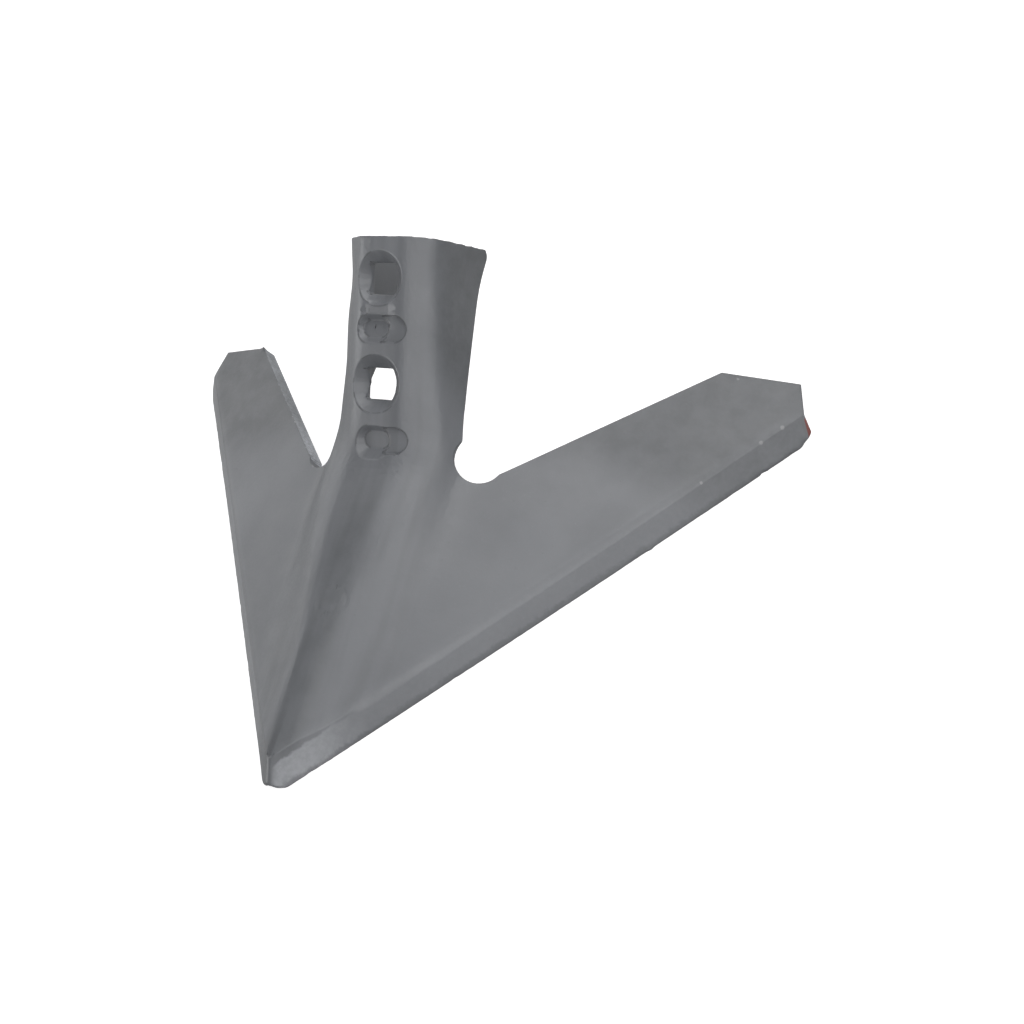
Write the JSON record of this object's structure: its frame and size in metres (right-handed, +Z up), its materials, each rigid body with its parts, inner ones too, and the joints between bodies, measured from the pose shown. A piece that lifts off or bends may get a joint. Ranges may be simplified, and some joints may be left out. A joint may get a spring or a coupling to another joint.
{
  "type": "cultivator sweep",
  "caption": "One-piece pressed steel cultivator sweep: swept V wings with ground cutting edges, rounded crown and a raked channel stem with countersunk square bolt holes.",
  "frame": {"origin": "middle of the base of the box round the part, in the plane of symmetry and on the plane of the cutting edges", "axes": "+X to the right wing as seen from in front of the nose looking back, +Y from the nose back to the shank, +Z up"},
  "size_m": [0.3462, 0.2512, 0.1291],
  "materials": {
    "painted_steel": "satin"
  },
  "bodies": {
    "root": {"cultivator_sweep": "painted_steel"}
  },
  "joints": []
}
